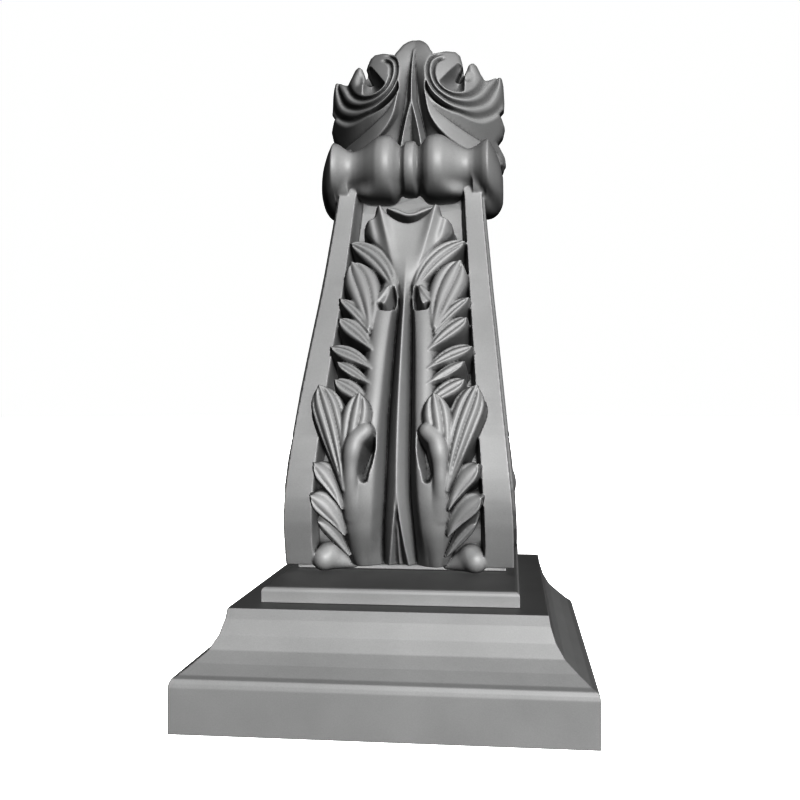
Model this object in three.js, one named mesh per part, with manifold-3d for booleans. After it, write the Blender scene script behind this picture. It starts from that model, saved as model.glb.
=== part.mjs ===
// A carved stone corbel standing on its own moulded plinth.
// Millimetres, +Z up. The origin is the middle of the plinth's underside, the front faces -Y
// and the flat back that goes against a wall faces +Y. Left and right are mirror images.
import * as THREE from 'three';
import { mergeVertices } from 'three/addons/utils/BufferGeometryUtils.js';
import Module from 'manifold-3d';

const wasm = await Module();
wasm.setup();

// Sizes that the rest of the stone follows.
const BED = 0.4;                    // mortar bed between the stones
const PLINTH_WIDTH = 310;
const PLINTH_DEPTH = 322;
const PLINTH_HEIGHT = 85.4;
const BACK = PLINTH_DEPTH / 2;      // plane of the flat back

const SLAB_HALF_WIDTH = 99.7;
const SLAB_FRONT = -105.4;
const SLAB_TOP = 98;
const SLAB_ARRIS = 3.6;             // radius of the rounded top edge

const FOOT = SLAB_TOP + BED;        // where the corbel stands
const NECK_HEIGHT = 5.6;            // the shaft stands on a low recessed neck
const NECK_HALF_WIDTH = 89;
const NECK_FRONT = -20;
const SHAFT_FOOT = FOOT + NECK_HEIGHT;
const SHAFT_TOP = 482;
const BAND_SHARE = 0.265;           // flat border band, share of the half-width
const PANEL_SINK_LOW = 17;          // depth of the sunk panel at the foot
const PANEL_SINK_HIGH = 23;         // and under the roll

const ROLL_AXIS_Y = 66;
const ROLL_AXIS_Z = 458;
const ROLL_HALF_LENGTH = 86;

const CREST_FOOT = 462;             // the crest leaf springs from behind the roll
const CREST_TOP = 598;

const SIDE_RELIEF = 2.6;            // how far the scroll carving stands off the sides

// Read a value between two rows of a table.
function row(table, at, column) {
  const last = table.length - 1;
  if (at <= table[0][0]) return table[0][column];
  if (at >= table[last][0]) return table[last][column];
  let i = 0;
  while (at > table[i + 1][0]) i += 1;
  const share = (at - table[i][0]) / (table[i + 1][0] - table[i][0]);
  return table[i][column] + share * (table[i + 1][column] - table[i][column]);
}

// Front of the border band: height, distance in Y, half-width of the shaft.
const BAND = [
  [98, -33, 95.6], [112, -39.5, 95.6], [128, -45.5, 95.4], [144, -49.8, 94.9], [160, -51.5, 93.8],
  [176, -50.3, 92.4], [192, -47.2, 90.7], [208, -42.9, 88.9], [224, -37.2, 87.2], [240, -30.4, 85.6],
  [260, -21.2, 83.4], [300, -1.8, 79.3], [340, 18.2, 74.9], [380, 34.9, 71], [410, 46, 68.1],
  [430, 54, 66.6], [452, 66, 66], [SHAFT_TOP, 66, 66],
];
const bandY = (z) => row(BAND, z, 1);
const shaftHalf = (z) => row(BAND, z, 2);
const panelSink = (z) => PANEL_SINK_LOW
  + (PANEL_SINK_HIGH - PANEL_SINK_LOW) * THREE.MathUtils.clamp((z - 100) / 320, 0, 1);
const panelY = (z) => bandY(z) + panelSink(z);
const panelHalf = (z) => shaftHalf(z) * (1 - BAND_SHARE);

// A closed skin over rings of points, every ring with the same number of points.
function loft(rings) {
  const count = rings[0].length;
  const points = rings.flat();
  const faces = [];
  for (let r = 0; r + 1 < rings.length; r += 1) {
    for (let i = 0; i < count; i += 1) {
      const a = r * count + i;
      const b = r * count + ((i + 1) % count);
      faces.push(a, b, b + count, a, b + count, a + count);
    }
  }
  const cap = (start, flip) => {
    const ring = points.slice(start, start + count);
    const mid = ring.reduce((sum, p) => sum.add(p), new THREE.Vector3()).divideScalar(count);
    points.push(mid);
    const centre = points.length - 1;
    for (let i = 0; i < count; i += 1) {
      const a = start + i;
      const b = start + ((i + 1) % count);
      if (flip) faces.push(b, a, centre);
      else faces.push(a, b, centre);
    }
  };
  cap(0, true);
  cap((rings.length - 1) * count, false);
  return shell(points, faces);
}

function shell(points, faces) {
  const geometry = new THREE.BufferGeometry();
  const flat = points.flatMap((p) => [p.x, p.y, p.z]);
  geometry.setAttribute('position', new THREE.Float32BufferAttribute(flat, 3));
  geometry.setIndex(faces);
  return geometry;
}

// Turn a closed geometry into a solid, whichever way its faces point.
function solid(geometry) {
  const bare = geometry.clone();
  bare.deleteAttribute('normal');
  bare.deleteAttribute('uv');
  const merged = mergeVertices(bare, 1e-4);
  const position = merged.getAttribute('position');
  let index = Array.from(merged.index.array);
  const a = new THREE.Vector3();
  const b = new THREE.Vector3();
  const c = new THREE.Vector3();
  let volume = 0;
  const kept = [];
  for (let i = 0; i < index.length; i += 3) {
    if (index[i] === index[i + 1] || index[i] === index[i + 2] || index[i + 1] === index[i + 2]) continue;
    kept.push(index[i], index[i + 1], index[i + 2]);
    a.fromBufferAttribute(position, index[i]);
    b.fromBufferAttribute(position, index[i + 1]);
    c.fromBufferAttribute(position, index[i + 2]);
    volume += a.dot(b.cross(c));
  }
  index = kept;
  if (volume < 0) {
    for (let i = 0; i < index.length; i += 3) {
      const swap = index[i];
      index[i] = index[i + 1];
      index[i + 1] = swap;
    }
  }
  return new wasm.Manifold(new wasm.Mesh({
    numProp: 3,
    vertProperties: new Float32Array(position.array),
    triVerts: new Uint32Array(index),
  }));
}

function geometryOf(manifold) {
  const mesh = manifold.getMesh();
  const geometry = new THREE.BufferGeometry();
  geometry.setAttribute('position', new THREE.BufferAttribute(new Float32Array(mesh.vertProperties), 3));
  geometry.setIndex(new THREE.BufferAttribute(new Uint32Array(mesh.triVerts), 1));
  return geometry;
}

function mirrored(geometry) {
  const copy = geometry.clone();
  copy.scale(-1, 1, 1);
  return copy;
}

function joined(list) {
  return list.reduce((sum, next) => sum.add(next));
}

// Plinth: vertical band, small rounded bead, then a cove cut as five flat facets.
const PLINTH_PROFILE = [
  [0, 0], [34, 0], [37.2, 0.7], [39.8, 2.1], [41.8, 5.8],
  [48.6, 14.5], [56.3, 23.5], [66.2, 29.6], [77.6, 33.3], [PLINTH_HEIGHT, 34.7],
];
const plinthGeometry = loft(PLINTH_PROFILE.map(([z, inset]) => {
  const x = PLINTH_WIDTH / 2 - inset;
  const front = -BACK + inset;
  return [
    new THREE.Vector3(-x, front, z), new THREE.Vector3(x, front, z),
    new THREE.Vector3(x, BACK, z), new THREE.Vector3(-x, BACK, z),
  ];
}));

// Bearing slab with a rounded top edge.
const slabRings = [[PLINTH_HEIGHT + BED, 0], [SLAB_TOP - SLAB_ARRIS, 0]];
for (const turn of [30, 60, 90]) {
  const angle = THREE.MathUtils.degToRad(turn);
  slabRings.push([SLAB_TOP - SLAB_ARRIS * (1 - Math.sin(angle)), SLAB_ARRIS * (1 - Math.cos(angle))]);
}
const slabGeometry = loft(slabRings.map(([z, inset]) => {
  const x = SLAB_HALF_WIDTH - inset;
  return [
    new THREE.Vector3(-x, SLAB_FRONT + inset, z), new THREE.Vector3(x, SLAB_FRONT + inset, z),
    new THREE.Vector3(x, BACK, z), new THREE.Vector3(-x, BACK, z),
  ];
}));

// Tapering shaft, and the panel sunk into its front between two flat border bands. It stands on
// a low neck, set back all round but for the flat back.
const shaftGeometry = loft(BAND.map(([height]) => {
  const z = Math.max(height, SHAFT_FOOT);
  const x = shaftHalf(z);
  return [
    new THREE.Vector3(-x, bandY(z), z), new THREE.Vector3(x, bandY(z), z),
    new THREE.Vector3(x, BACK, z), new THREE.Vector3(-x, BACK, z),
  ];
}));
const panelHeights = [90, ...BAND.map((entry) => entry[0]).filter((z) => z > 100 && z < 435), 446];
const panelGeometry = loft(panelHeights.map((z) => {
  const x = panelHalf(z);
  return [
    new THREE.Vector3(-x, -140, z), new THREE.Vector3(x, -140, z),
    new THREE.Vector3(x, panelY(z), z), new THREE.Vector3(-x, panelY(z), z),
  ];
}));
const neck = new THREE.BoxGeometry(2 * NECK_HALF_WIDTH, BACK - NECK_FRONT, NECK_HEIGHT + 20);
neck.translate(0, (BACK + NECK_FRONT) / 2, FOOT + (NECK_HEIGHT + 20) / 2);
let corbel = solid(shaftGeometry).subtract(solid(panelGeometry)).add(solid(neck));

// One lobe: from its root to its tip along a bent line on the front, as wide as its half-width
// at the belly, standing proud of the border band, with a raised middle and a groove on each side.
const CROSS = [-1, -0.55, 0, 0.55, 1];
const CROSS_RISE = [-4.5, 2.6, 4.2, 2.6, -4.5];

function lobe({
  root, bend, tip, half, belly, proudRoot, proudTip, steps = 5, surface = bandY, floor = panelY,
}) {
  const line = new THREE.QuadraticBezierCurve(
    new THREE.Vector2(...root), new THREE.Vector2(...bend), new THREE.Vector2(...tip));
  const rings = [];
  for (let i = 0; i <= steps; i += 1) {
    const t = i / steps;
    const middle = line.getPoint(t);
    const along = line.getTangent(t);
    const swell = t < belly
      ? 0.4 + 0.6 * Math.sin((Math.PI / 2) * (t / belly))
      : Math.sqrt(1 - 0.93 * ((t - belly) / (1 - belly)) ** 2);
    const wide = half * swell;
    const proud = proudRoot + (proudTip - proudRoot) * t;
    const ring = CROSS.map((q, k) => {
      const s = middle.x + along.y * wide * q;
      const z = middle.y - along.x * wide * q;
      const rise = CROSS_RISE[k] * Math.min(1, wide / 7);
      return new THREE.Vector3(s, surface(z, s) - proud - rise, z);
    });
    const last = CROSS.length - 1;
    const right = new THREE.Vector3(ring[last].x, floor(ring[last].z, ring[last].x) + 3, ring[last].z);
    const left = new THREE.Vector3(ring[0].x, floor(ring[0].z, ring[0].x) + 3, ring[0].z);
    rings.push([...ring, right, left]);
  }
  return loft(rings);
}

// Each row of a leaf: root, bend and tip of a lobe as distance from the middle and height, its
// half-width, where its belly is, how proud its root and tip stand, and its number of sections.
function named([root, bend, tip, half, belly, proudRoot, proudTip, steps]) {
  return { root, bend, tip, half, belly, proudRoot, proudTip, steps };
}

// Upper tier, from the top down, then the lower tier, all on the right half.
const UPPER = [
  [[10, 338], [20, 372], [51, 384], 10.5, 0.6, 6, 1, 5],
  [[27, 306], [32, 336], [47, 364], 15.5, 0.68, 9, 7, 5],
  [[24, 322], [15, 326], [13, 344], 4.5, 0.6, 7, 8, 3],
  [[28, 302], [38, 322], [56.5, 330], 7, 0.55, 9, 7, 5],
  [[24, 286], [37, 304], [55, 312], 8.5, 0.62, 10, 9, 5],
  [[24, 272], [40, 284], [60, 287], 7, 0.55, 11, 10, 5],
  [[24, 257], [40, 269], [54, 273], 5.5, 0.6, 11, 10, 5],
  [[24, 240], [38, 254], [54, 258], 8, 0.62, 11, 11, 5],
].map(named);
const LOWER = [
  [[43, 172], [51, 214], [65.5, 254], 13.5, 0.68, 12, 18, 6],
  [[39, 186], [34, 222], [31, 248], 11.5, 0.64, 13, 21, 6],
  [[43, 158], [51, 180], [66, 190], 7.5, 0.66, 11, 12, 5],
  [[42, 134], [52, 156], [69, 164], 7.5, 0.66, 8, 10, 5],
  [[42, 114], [52, 132], [65, 143], 4.5, 0.5, 4, 4, 4],
].map(named);

// The two smooth swelling stems that run up on either side of the midrib.
const STEM = [
  [100, 16, 41, 2], [112, 15, 43, 6], [130, 13.5, 45, 10], [155, 12, 46, 13],
  [178, 11.5, 44, 14], [205, 11, 39, 14], [228, 10.5, 34, 14], [260, 10, 31, 14], [290, 9, 30, 13.5],
  [316, 7.5, 28, 11], [336, 5.5, 20, 8], [352, 4, 12, 6],
];
const stemGeometry = loft(STEM.map(([height, inner, outer, proud]) => {
  const z = Math.max(height, FOOT);
  const wall = 5.5;
  const crown = (inner + wall + outer) / 2;
  const top = bandY(z) - proud;
  const low = panelY(z) + 3;
  return [
    new THREE.Vector3(inner, low, z), new THREE.Vector3(inner, top + proud + 6, z),
    new THREE.Vector3(inner + wall, top + 2.4, z), new THREE.Vector3(crown - 3, top - 1.6, z),
    new THREE.Vector3(crown + 5, top - 1.4, z), new THREE.Vector3(outer, top + 3, z),
    new THREE.Vector3(outer, low, z),
  ];
}));

// Midrib: a ridge with a groove on both sides, parting into two strands at the foot.
const RIB = [
  [100, 18, 1], [125, 16, 5], [150, 14, 8], [180, 13, 10], [230, 12, 11], [290, 11, 10.5],
  [325, 8.5, 8], [350, 6, 6], [366, 3, 5],
];
const ribGeometry = loft(RIB.map(([height, half, proud]) => {
  const z = Math.max(height, FOOT);
  const top = bandY(z) - proud;
  const low = panelY(z) + 3;
  const groove = top + 10;
  return [
    new THREE.Vector3(-half, low, z), new THREE.Vector3(-half, groove, z),
    new THREE.Vector3(-half * 0.5, groove - 4.5, z), new THREE.Vector3(0, top, z),
    new THREE.Vector3(half * 0.5, groove - 4.5, z), new THREE.Vector3(half, groove, z),
    new THREE.Vector3(half, low, z),
  ];
}));
const FORK = [[96, 6.5, 3], [125, 4.6, 7], [152, 2.6, 9], [178, 0.6, 10]];
const forkGeometry = loft(FORK.map(([z, half, depth]) => {
  const top = bandY(z) - depth - 6;
  return [
    new THREE.Vector3(-half, top, z), new THREE.Vector3(half, top, z),
    new THREE.Vector3(0, bandY(z) + 4 - depth * 0.5, z),
  ];
}));

// Flaring bell at the head of the leaf, open upward and forward.
const BELL = [
  [334, 5, 3, 8], [350, 9, 5, 8], [366, 17, 7, 7], [382, 25, 8, 5], [396, 33, 9, 3],
  [406, 36, 8, 2], [416, 30, 6, 2], [421, 25, 4, 3],
];
const bellGeometry = loft(BELL.map(([z, half, crown, proud]) => {
  const ring = [];
  for (const q of [-1, -0.8, -0.45, 0, 0.45, 0.8, 1]) {
    const y = bandY(z) - proud - crown * (1 - q * q) + (Math.abs(q) === 1 ? 6 : 0);
    ring.push(new THREE.Vector3(half * q, y, z));
  }
  ring.push(new THREE.Vector3(half, panelY(z) + 3, z), new THREE.Vector3(-half, panelY(z) + 3, z));
  return ring;
}));
const mouth = new THREE.SphereGeometry(1, 14, 9);
mouth.scale(22, 15, 15);
mouth.rotateX(THREE.MathUtils.degToRad(-18));
mouth.translate(0, 42, 420);

// Ball at the foot of each lower leaf, hanging a little over the slab.
const ball = new THREE.SphereGeometry(1, 10, 7);
ball.scale(9.6, 9.6, 9.2);
ball.translate(64, -35.5, 109);
const ballStem = lobe({
  root: [36, 104], bend: [48, 106], tip: [66, 114], half: 9, belly: 0.8, proudRoot: 0, proudTip: 3, steps: 4,
});

const leaves = [...UPPER, ...LOWER].map(lobe);
const half = [...leaves, stemGeometry, ballStem];
let leaf = joined(half.map(solid)).add(joined(half.map((piece) => solid(mirrored(piece)))));
leaf = leaf.add(solid(ribGeometry)).subtract(solid(forkGeometry));
leaf = leaf.add(solid(bellGeometry)).subtract(solid(mouth));

// The leaf ends level with the shaft's foot; only the two balls hang a little lower, clear of the slab.
const underside = new THREE.BoxGeometry(400, 400, 60);
underside.translate(0, 0, SHAFT_FOOT - 30);
leaf = leaf.subtract(solid(underside));
const clearance = new THREE.BoxGeometry(400, 400, 60);
clearance.translate(0, 0, FOOT + 0.9 - 30);
const balls = solid(ball).add(solid(mirrored(ball))).subtract(solid(clearance));
corbel = corbel.add(leaf).add(balls);

// Roll: half of the turned outline: distance from the middle, radius.
const ROLL = [
  [0, 26.4], [4, 25.6], [7, 21.6], [10.5, 23.4], [15, 28.8], [22, 32.2], [30, 31], [38, 26.4], [46, 20.8],
  [54, 18], [60, 19.8], [66, 24.6], [72, 26.8], [78, 24], [83, 12],
];
const outline = [new THREE.Vector2(0, -ROLL_HALF_LENGTH)];
for (const [x, radius] of [...ROLL].reverse()) outline.push(new THREE.Vector2(radius, -x));
for (const [x, radius] of ROLL.slice(1)) outline.push(new THREE.Vector2(radius, x));
outline.push(new THREE.Vector2(0, ROLL_HALF_LENGTH));
const roll = new THREE.LatheGeometry(outline, 20);
roll.rotateZ(Math.PI / 2);
roll.translate(0, ROLL_AXIS_Y, ROLL_AXIS_Z);
corbel = corbel.add(solid(roll));

// The coiled end behind each end of the roll: a thick disc with a domed face.
const COIL = [[0, 87.5], [14, 86.5], [25, 83], [32, 77], [34.5, 68], [34.5, 60], [0, 60]];
const coil = new THREE.LatheGeometry(COIL.map(([radius, x]) => new THREE.Vector2(radius, x)).reverse(), 20);
coil.rotateZ(-Math.PI / 2);
coil.translate(0, ROLL_AXIS_Y + 18, ROLL_AXIS_Z - 10);
corbel = corbel.add(solid(coil)).add(solid(mirrored(coil)));

// The crest is a leaf draped over a dome: its face swells forward over the middle of the roll and
// falls back to both sides and to its tip. Flutes sweep in rings round a deep eye on each side.
const DOME_FRONT = 70;
const dome = (z, s) => DOME_FRONT + 0.0078 * s * s
  + 45 * THREE.MathUtils.clamp((z - 500) / (CREST_TOP - 502), 0, 1.1) ** 3;
const toWall = () => BACK - 3;

// Half-width of the leaf from its foot up, without the lobes that stand out of it.
const LEAF_BODY = [
  [CREST_FOOT, 66], [478, 76], [494, 77], [512, 80], [530, 78], [544, 76], [554, 60], [564, 40], [574, 18],
];
const bodyGeometry = loft(LEAF_BODY.map(([z, wide]) => {
  const ring = [-1, -0.75, -0.5, -0.25, 0, 0.25, 0.5, 0.75, 1].map((share) => {
    const x = share * wide;
    return new THREE.Vector3(x, dome(z, x) + 5, z);
  });
  ring.push(new THREE.Vector3(wide, BACK, z), new THREE.Vector3(-wide, BACK, z));
  return ring;
}));

// Lobes of the crest on the right half, from the lowest up. The last three bend round the eye.
const CREST = [
  [[30, 488], [56, 468], [87, 481], 8.5, 0.8, -2, -3, 4],
  [[14, 528], [30, 490], [82, 497], 11, 0.6, 1, 0, 5],
  [[15, 538], [34, 498], [86.5, 514], 8, 0.75, 2, 2, 5],
  [[15, 550], [32, 504], [87, 533], 9, 0.8, 3, 3, 5],
  [[15, 566], [24, 492], [84, 564], 9, 0.8, 5, 4, 7],
  [[25, 572], [24, 502], [58, 572], 7, 0.7, 4, 5, 7],
  [[17, 544], [14, 584], [43, 577], 10, 0.7, 6, 7, 5],
].map(named);
const crestLobes = CREST.map((spec) => lobe({ ...spec, surface: dome, floor: toWall }));
const strand = lobe({
  root: [15, 486], bend: [7, 520], tip: [1, 582], half: 3, belly: 0.4, proudRoot: 5, proudTip: 8,
  steps: 3, surface: dome, floor: toWall,
});
const spine = lobe({
  root: [0, 486], bend: [0, 540], tip: [0, CREST_TOP + 3], half: 16.5, belly: 0.8, proudRoot: 1, proudTip: 2,
  steps: 8, surface: dome, floor: toWall,
});
const eye = new THREE.SphereGeometry(1, 10, 7);
eye.scale(8.5, 26, 11);
eye.translate(39.5, dome(551, 40) - 4, 553);

const crestHalf = [...crestLobes, strand];
let crest = joined(crestHalf.map(solid))
  .add(joined(crestHalf.map((piece) => solid(mirrored(piece)))))
  .add(solid(spine)).add(solid(bodyGeometry));
crest = crest.subtract(solid(eye)).subtract(solid(mirrored(eye)));
corbel = corbel.add(crest);

// Side scrolls: a raised fillet follows the edge of each side from the roll down, sweeps round
// the belly and winds into a volute, with a boss in its eye.
const VOLUTE_Y = 48;
const VOLUTE_Z = 172;
const VOLUTE_EYE = 13;
function fillet(points, wide, off) {
  const rings = points.map(([y, z], i) => {
    const next = points[Math.min(i + 1, points.length - 1)];
    const before = points[Math.max(i - 1, 0)];
    const length = Math.hypot(next[0] - before[0], next[1] - before[1]);
    const ny = -(next[1] - before[1]) / length;
    const nz = (next[0] - before[0]) / length;
    const x = shaftHalf(z);
    return [
      new THREE.Vector3(x - 4, y - ny * wide, z - nz * wide),
      new THREE.Vector3(x + off * 0.6, y - ny * wide, z - nz * wide),
      new THREE.Vector3(x + off, y, z),
      new THREE.Vector3(x + off * 0.6, y + ny * wide, z + nz * wide),
      new THREE.Vector3(x - 4, y + ny * wide, z + nz * wide),
    ];
  });
  return loft(rings);
}
const scroll = [];
for (let z = 430; z > 235; z -= 24) scroll.push([bandY(z) + 10, z]);
const turns = 1.42;
for (let i = 0; i <= 24; i += 1) {
  const share = i / 24;
  const angle = Math.PI - 0.42 + share * turns * 2 * Math.PI;
  const radius = 88 * (1 - share) ** 0.9 + VOLUTE_EYE * share;
  const y = VOLUTE_Y + radius * Math.cos(angle);
  const z = VOLUTE_Z - radius * Math.sin(angle) * (radius > 60 ? 0.72 : 0.72 + 0.28 * (60 - radius) / 60) * -1;
  scroll.push([Math.min(y, BACK - 9), Math.max(z, FOOT + 9)]);
}
const boss = new THREE.SphereGeometry(1, 10, 6);
boss.scale(6, VOLUTE_EYE, VOLUTE_EYE);
boss.translate(shaftHalf(VOLUTE_Z) - 1, VOLUTE_Y, VOLUTE_Z);
const sideGeometry = [fillet(scroll, 5, SIDE_RELIEF), boss];
const sides = joined(sideGeometry.map(solid)).add(joined(sideGeometry.map((piece) => solid(mirrored(piece)))));
corbel = corbel.add(sides);

// The three stones.
const stone = () => new THREE.MeshStandardMaterial({ color: 0x9c9b98, roughness: 0.62, metalness: 0 });
function piece(name, geometry) {
  const mesh = new THREE.Mesh(geometry, stone());
  mesh.name = name;
  return mesh;
}
const object = new THREE.Group();
object.add(piece('plinth', plinthGeometry));
object.add(piece('slab', slabGeometry));
object.add(piece('corbel', geometryOf(corbel)));

export default object;
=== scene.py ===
"""A carved stone corbel on its moulded plinth, seen from the front and a little from the right.

The frame is loaded first; the sections then follow the object from the plinth up, as a carver
would set it out, cut it from one block and rub it smooth.
"""

import math

import bmesh
import bpy
import numpy as np
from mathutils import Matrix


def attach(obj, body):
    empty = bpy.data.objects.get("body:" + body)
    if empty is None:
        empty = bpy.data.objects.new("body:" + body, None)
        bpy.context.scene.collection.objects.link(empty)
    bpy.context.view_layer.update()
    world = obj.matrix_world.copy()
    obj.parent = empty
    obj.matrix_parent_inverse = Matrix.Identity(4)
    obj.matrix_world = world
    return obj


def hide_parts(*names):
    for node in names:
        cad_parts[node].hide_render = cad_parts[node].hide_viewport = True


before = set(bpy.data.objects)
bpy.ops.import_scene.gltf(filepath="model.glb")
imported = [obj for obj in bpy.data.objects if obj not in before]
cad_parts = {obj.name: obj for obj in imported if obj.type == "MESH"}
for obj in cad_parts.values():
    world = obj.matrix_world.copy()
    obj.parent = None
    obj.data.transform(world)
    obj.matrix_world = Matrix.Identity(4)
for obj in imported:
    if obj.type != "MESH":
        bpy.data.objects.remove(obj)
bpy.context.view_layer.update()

# The camera stands about 0.85 m in front of the object, a little to its right and just under
# half its height, level, so that upright edges stay upright. The lens was worked out from
# the plinth's corners and from pairs of matching points left and right of the middle.
MM = 0.001
PHOTO_SIZE = 800
FOCAL_PIXELS = 990.0

camera_data = bpy.data.cameras.new("camera")
camera_data.sensor_width = 36.0
camera_data.lens = 36.0 * FOCAL_PIXELS / PHOTO_SIZE
camera_data.clip_start = 0.05
camera_data.clip_end = 50.0
camera = bpy.data.objects.new("camera", camera_data)
camera.location = (91.84 * MM, -855.9 * MM, 242.6 * MM)
camera.rotation_euler = (math.radians(90.0), 0.0, math.radians(6.32))
bpy.context.scene.collection.objects.link(camera)
bpy.context.scene.camera = camera


# Colours are written as the hex values a picture shows and turned linear here.
def linear(code):
    channels = [int(code[i : i + 2], 16) / 255.0 for i in (0, 2, 4)]
    return [c / 12.92 if c <= 0.04045 else ((c + 0.055) / 1.055) ** 2.4 for c in channels] + [1.0]


def add_node(tree, kind, inputs=None, **settings):
    node = tree.nodes.new(kind)
    for name, value in settings.items():
        setattr(node, name, value)
    for name, value in (inputs or {}).items():
        if isinstance(value, bpy.types.NodeSocket):
            tree.links.new(value, node.inputs[name])
        else:
            node.inputs[name].default_value = value
    return node


# Studio floor: a wide sheet of matt white card under the plinth, bright enough to leave no edge
# against the white surround, and kept from throwing light back up onto the stone.
FLOOR_RADIUS = 14.0
FLOOR_DROP = 0.0005
SURROUND_LIGHT = 0.02

floor_mesh = bpy.data.meshes.new("floor")
shape = bmesh.new()
bmesh.ops.create_circle(shape, cap_ends=True, radius=FLOOR_RADIUS, segments=96)
shape.to_mesh(floor_mesh)
shape.free()
floor = bpy.data.objects.new("floor", floor_mesh)
floor.location.z = -FLOOR_DROP
bpy.context.scene.collection.objects.link(floor)
floor_paint = bpy.data.materials.new("matt_white_studio_floor")
floor_paint.use_nodes = True
card = floor_paint.node_tree.nodes["Principled BSDF"]
card.inputs["Base Color"].default_value = linear("F4F4F3")
card.inputs["Roughness"].default_value = 0.9
card.inputs["Emission Color"].default_value = linear("FFFFFF")
card.inputs["Emission Strength"].default_value = 1.0
floor_mesh.materials.append(floor_paint)
floor.visible_diffuse = False
floor.visible_glossy = False

world = bpy.data.worlds.new("white_surround")
world.use_nodes = True
bpy.context.scene.world = world
sky = world.node_tree
sky.nodes.clear()
seen = add_node(sky, "ShaderNodeBackground", {"Color": linear("FFFFFF"), "Strength": 1.0})
dim = add_node(sky, "ShaderNodeBackground", {"Color": linear("FFFFFF"), "Strength": SURROUND_LIGHT})
ray = add_node(sky, "ShaderNodeLightPath")
surround = add_node(sky, "ShaderNodeMixShader", {"Fac": ray.outputs["Is Camera Ray"]})
sky.links.new(dim.outputs["Background"], surround.inputs[1])
sky.links.new(seen.outputs["Background"], surround.inputs[2])
add_node(sky, "ShaderNodeOutputWorld", {"Surface": surround.outputs["Shader"]})


# Studio light: one distant, soft key lamp from the front right, and weak lamps behind the object
# that show its back and far sides. The tones follow the light straight, without a film curve.
LAMP_WIDTH = 1.2
LAMP_AIM = (0.0, 0.0, 0.30)
STRAIGHT_TONES = 0.41


def area_lamp(name, azimuth, elevation, distance, power, shadows=True, glints=True):
    data = bpy.data.lights.new(name, "AREA")
    data.shape = "DISK"
    data.size = LAMP_WIDTH
    data.energy = power
    data.use_shadow = shadows
    lamp = bpy.data.objects.new(name, data)
    lamp.visible_glossy = glints
    turn = math.radians(azimuth)
    rise = math.radians(elevation)
    flat = math.cos(rise)
    away = np.array([math.sin(turn) * flat, -math.cos(turn) * flat, math.sin(rise)])
    lamp.location = np.array(LAMP_AIM) + distance * away
    lamp.rotation_euler = (math.radians(90.0) - rise, 0.0, turn)
    bpy.context.scene.collection.objects.link(lamp)


area_lamp("key", 21.0, 23.0, 6.0, 670.0, shadows=False)
area_lamp("back", 180.0, 3.0, 6.0, 210.0, shadows=False, glints=False)
area_lamp("back_left", -142.0, 3.0, 2.6, 55.0, glints=False)
area_lamp("back_right", 142.0, 10.0, 2.6, 5.0)
bpy.context.scene.view_settings.view_transform = "Standard"
bpy.context.scene.view_settings.gamma = STRAIGHT_TONES


# The plinth is one moulded block of grey limestone and the slab a thin course of it on top. Both
# keep the frame's shape; a mason's chisel leaves their arrises a little blunt, about half a
# millimetre.
PLINTH_BLUNT = 0.6
SLAB_BLUNT = 0.4
FLAT_WITHIN = math.radians(1.0)
SHARP_FROM = math.radians(8.0)


def blunted(node, name, blunt_mm):
    piece = bpy.data.objects.new(name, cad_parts[node].data.copy())
    bpy.context.scene.collection.objects.link(piece)
    shape = bmesh.new()
    shape.from_mesh(piece.data)
    bmesh.ops.remove_doubles(shape, verts=shape.verts, dist=0.02 * MM)
    bmesh.ops.dissolve_limit(shape, angle_limit=FLAT_WITHIN, verts=shape.verts, edges=shape.edges)
    sharp = [e for e in shape.edges if e.is_manifold and e.calc_face_angle() > SHARP_FROM]
    bmesh.ops.bevel(
        shape, geom=sharp, offset=blunt_mm * MM, segments=2, profile=0.5, affect="EDGES",
        clamp_overlap=True,
    )
    shape.to_mesh(piece.data)
    shape.free()
    for polygon in piece.data.polygons:
        polygon.use_smooth = False
    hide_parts(node)
    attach(piece, "root")
    return piece


plinth = blunted("plinth", "moulded_plinth", PLINTH_BLUNT)
slab = blunted("slab", "bearing_slab", SLAB_BLUNT)

# Stone: a fine, even grey limestone. Its tone drifts a little over a few centimetres and its grain
# is under a millimetre. Upward faces and hollows are darkened with painted shade, and the arrises
# are lightened with a painted highlight.
DRIFT_WIDTH = 42 * MM
GRAIN_WIDTH = 0.9 * MM
GRAIN_DEPTH = 0.15 * MM
COLOUR_A, COLOUR_B, COLOUR_OUT = 6, 7, 2


def tinted(tree, share, under, over):
    """A colour that goes from under to over with the share, as one socket."""
    both = {"Factor": share, COLOUR_A: under, COLOUR_B: over}
    return add_node(tree, "ShaderNodeMix", both, data_type="RGBA").outputs[COLOUR_OUT]


def ranged(tree, value, low, high, start, end):
    """A value between low and high, turned into one between start and end."""
    span = {"Value": value, "From Min": low, "From Max": high, "To Min": start, "To Max": end}
    return add_node(tree, "ShaderNodeMapRange", span).outputs["Result"]


def mottle(tree, place, width, detail):
    blots = {"Vector": place, "Scale": 1 / width, "Detail": detail}
    return add_node(tree, "ShaderNodeTexNoise", blots).outputs[0]


def carried(tree, name):
    """What the mesh itself carries under this name, such as the painted shade of a hollow."""
    return add_node(tree, "ShaderNodeAttribute", attribute_name=name).outputs["Fac"]


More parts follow.
